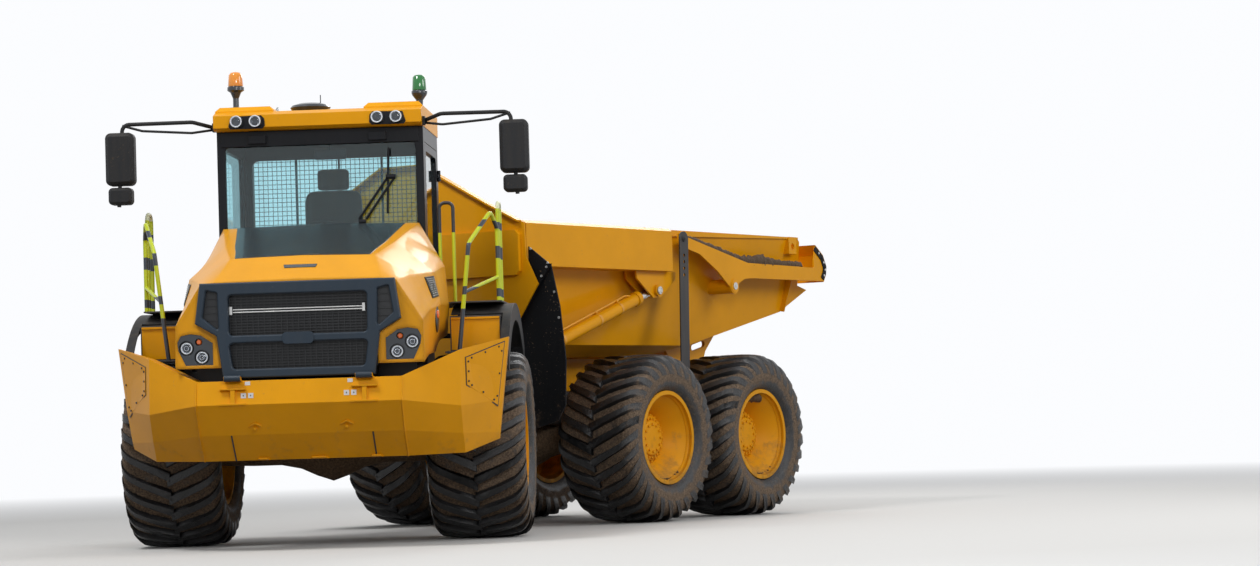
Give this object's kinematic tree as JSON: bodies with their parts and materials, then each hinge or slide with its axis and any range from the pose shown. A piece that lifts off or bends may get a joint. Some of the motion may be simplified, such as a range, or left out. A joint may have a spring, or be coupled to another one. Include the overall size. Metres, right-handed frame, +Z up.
{
  "type": "articulated dump truck",
  "caption": "Six-wheel articulated dump truck with a steering hitch between cab unit and bin unit, tipping bin with linked tailgate, tilting hood and opening cab door.",
  "frame": {"origin": "on the ground under the middle of the machine's overall box as it stands, with the rear unit turned 31.5 degrees", "axes": "+X forward along the front unit, +Y to the front unit's left, +Z up"},
  "size_m": [8.8639, 5.8532, 3.8443],
  "materials": {
    "body_paint": "satin construction yellow, weathered and dusty",
    "rim_paint": "satin yellow with mud",
    "chassis_paint": "dark satin paint under mud",
    "axle_casting": "painted casting under mud",
    "engine_iron": "matte",
    "radiator_black": "matte black",
    "grille_grey": "satin dark blue-grey",
    "cab_black": "satin black",
    "cab_glazing": "tinted, clear",
    "deck_steel": "dark grey tread plate",
    "guard_plastic": "dark moulded plastic",
    "lamp_plastic": "dark housings with clear lenses",
    "rail_paint": "bright yellow safety paint",
    "seat_cloth": "woven",
    "tyre_rubber": "dusty, caked with mud",
    "flap_rubber": "matte, speckled with mud",
    "strap_steel": "dark worn paint",
    "cylinder_paint": "satin black",
    "rod_chrome": "polished"
  },
  "bodies": {
    "front_unit": {"front_frame": "chassis_paint", "front_axle": "axle_casting", "engine_block": "engine_iron", "gearbox": "engine_iron", "radiator": "radiator_black", "bumper": "body_paint", "mudguards": "guard_plastic", "service_decks": "deck_steel", "side_tanks": "chassis_paint", "cab_frame": "cab_black", "cab_floor": "cab_black", "cab_glass": "cab_glazing", "cab_roof": "body_paint", "seat": "seat_cloth", "dash_and_wheel": "guard_plastic", "rear_guard": "cab_black", "handrails": "rail_paint", "mirrors": "guard_plastic", "roof_lamps": "lamp_plastic"},
    "hood": {"hood": "body_paint", "grille_frame": "grille_grey", "headlamps": "lamp_plastic"},
    "cab_door": {"cab_door": "cab_black", "door_glass": "cab_glazing"},
    "hitch": {"hitch": "chassis_paint"},
    "rear_unit": {"rear_frame": "chassis_paint", "rear_axles": "axle_casting", "walking_beams": "axle_casting", "rear_shafts": "engine_iron"},
    "bin": {"bin_floor": "body_paint", "bin_left_side": "body_paint", "bin_right_side": "body_paint", "bin_underframe": "body_paint", "headboard": "body_paint", "mudflaps": "flap_rubber"},
    "tailgate": {"tailgate": "body_paint"},
    "tailgate_straps": {"tailgate_straps": "strap_steel"},
    "tip_barrels": {"tip_barrels": "body_paint"},
    "tip_rods": {"tip_rods": "rod_chrome"},
    "front_left_wheel": {"front_left_tyre": "tyre_rubber", "front_left_rim": "rim_paint"},
    "front_right_wheel": {"front_right_tyre": "tyre_rubber", "front_right_rim": "rim_paint"},
    "mid_left_wheel": {"mid_left_tyre": "tyre_rubber", "mid_left_rim": "rim_paint"},
    "mid_right_wheel": {"mid_right_tyre": "tyre_rubber", "mid_right_rim": "rim_paint"},
    "rear_left_wheel": {"rear_left_tyre": "tyre_rubber", "rear_left_rim": "rim_paint"},
    "rear_right_wheel": {"rear_right_tyre": "tyre_rubber", "rear_right_rim": "rim_paint"},
    "steering_barrel_left": {"steering_barrel_left": "cylinder_paint"},
    "steering_rod_left": {"steering_rod_left": "rod_chrome"},
    "steering_barrel_right": {"steering_barrel_right": "cylinder_paint"},
    "steering_rod_right": {"steering_rod_right": "rod_chrome"}
  },
  "joints": [
    {"name": "steering", "type": "hinge", "parent": "front_unit", "child": "hitch", "pos_m": [1.23499, -1.22763, 0.94], "axis": [0, 0, 1], "range_deg": [-13.5, 76.5]},
    {"name": "oscillation", "type": "hinge", "parent": "hitch", "child": "rear_unit", "pos_m": [1.23499, -1.22763, 0.94], "axis": [0.8526, -0.5225, 0], "range_deg": [-15, 15]},
    {"name": "hood_tilt", "type": "hinge", "parent": "front_unit", "child": "hood", "pos_m": [4.41199, -1.22763, 1.315], "axis": [0, 1, 0], "range_deg": [0, 65]},
    {"name": "cab_door_hinge", "type": "hinge", "parent": "front_unit", "child": "cab_door", "pos_m": [1.82799, -0.37813, 2.5], "axis": [0, 0, 1], "range_deg": [0, 75]},
    {"name": "front_left_wheel_spin", "type": "hinge", "parent": "front_unit", "child": "front_left_wheel", "pos_m": [2.56699, -0.01163, 0.75], "axis": [0, 1, 0], "continuous": true},
    {"name": "front_right_wheel_spin", "type": "hinge", "parent": "front_unit", "child": "front_right_wheel", "pos_m": [2.56699, -2.44363, 0.75], "axis": [0, 1, 0], "continuous": true},
    {"name": "mid_left_wheel_spin", "type": "hinge", "parent": "rear_unit", "child": "mid_left_wheel", "pos_m": [-0.26807, 1.11961, 0.75], "axis": [0.5225, 0.8526, 0], "continuous": true},
    {"name": "mid_right_wheel_spin", "type": "hinge", "parent": "rear_unit", "child": "mid_right_wheel", "pos_m": [-1.53879, -0.95401, 0.75], "axis": [0.5225, 0.8526, 0], "continuous": true},
    {"name": "rear_left_wheel_spin", "type": "hinge", "parent": "rear_unit", "child": "rear_left_wheel", "pos_m": [-1.62633, 1.95195, 0.75], "axis": [0.5225, 0.8526, 0], "continuous": true},
    {"name": "rear_right_wheel_spin", "type": "hinge", "parent": "rear_unit", "child": "rear_right_wheel", "pos_m": [-2.89705, -0.12167, 0.75], "axis": [0.5225, 0.8526, 0], "continuous": true},
    {"name": "bin_raise", "type": "hinge", "parent": "rear_unit", "child": "bin", "pos_m": [-2.47399, 1.04524, 1.21], "axis": [-0.5225, -0.8526, 0], "range_deg": [0, 60]},
    {"name": "tailgate_lift", "type": "hinge", "parent": "bin", "child": "tailgate", "pos_m": [-2.29835, 0.9376, 2.145], "axis": [-0.5225, -0.8526, 0], "range_deg": [-66, 0]},
    {"name": "strap_lean", "type": "hinge", "parent": "rear_unit", "child": "tailgate_straps", "pos_m": [-1.51051, 0.45482, 1.27], "axis": [-0.5225, -0.8526, 0], "range_deg": [0, 44]},
    {"name": "tip_barrel_lean", "type": "hinge", "parent": "rear_unit", "child": "tip_barrels", "pos_m": [0.44204, -0.74171, 1.459], "axis": [0.5225, 0.8526, 0], "range_deg": [0, 5]},
    {"name": "tip_rod_slide", "type": "slide", "parent": "tip_barrels", "child": "tip_rods", "axis": [-0.8133, 0.4984, 0.3004], "range_m": [0, 1.662]},
    {"name": "steering_barrel_left_turn", "type": "hinge", "parent": "front_unit", "child": "steering_barrel_left", "pos_m": [2.18499, -0.80763, 0.88], "axis": [0, 0, 1], "range_deg": [-1, 5.4]},
    {"name": "steering_rod_left_slide", "type": "slide", "parent": "steering_barrel_left", "child": "steering_rod_left", "axis": [-0.9963, -0.086, 0], "range_m": [-0.0731, 0.4145]},
    {"name": "steering_barrel_right_turn", "type": "hinge", "parent": "front_unit", "child": "steering_barrel_right", "pos_m": [2.18499, -1.64763, 0.88], "axis": [0, 0, 1], "range_deg": [-0.9, 4.7]},
    {"name": "steering_rod_right_slide", "type": "slide", "parent": "steering_barrel_right", "child": "steering_rod_right", "axis": [-0.9868, 0.1622, 0], "range_m": [-0.4215, 0.0745]}
  ],
  "couplings": [
    {"joint": "tailgate_lift", "follows": "bin_raise", "ratio": -1.0963},
    {"joint": "strap_lean", "follows": "bin_raise", "ratio": 0.7233},
    {"joint": "tip_barrel_lean", "follows": "bin_raise", "ratio": 0.08245},
    {"joint": "tip_rod_slide", "follows": "bin_raise", "m_per_rad": 1.5863},
    {"joint": "steering_barrel_left_turn", "follows": "steering", "ratio": 0.07},
    {"joint": "steering_rod_left_slide", "follows": "steering", "m_per_rad": 0.31},
    {"joint": "steering_barrel_right_turn", "follows": "steering", "ratio": 0.06},
    {"joint": "steering_rod_right_slide", "follows": "steering", "m_per_rad": -0.315}
  ]
}
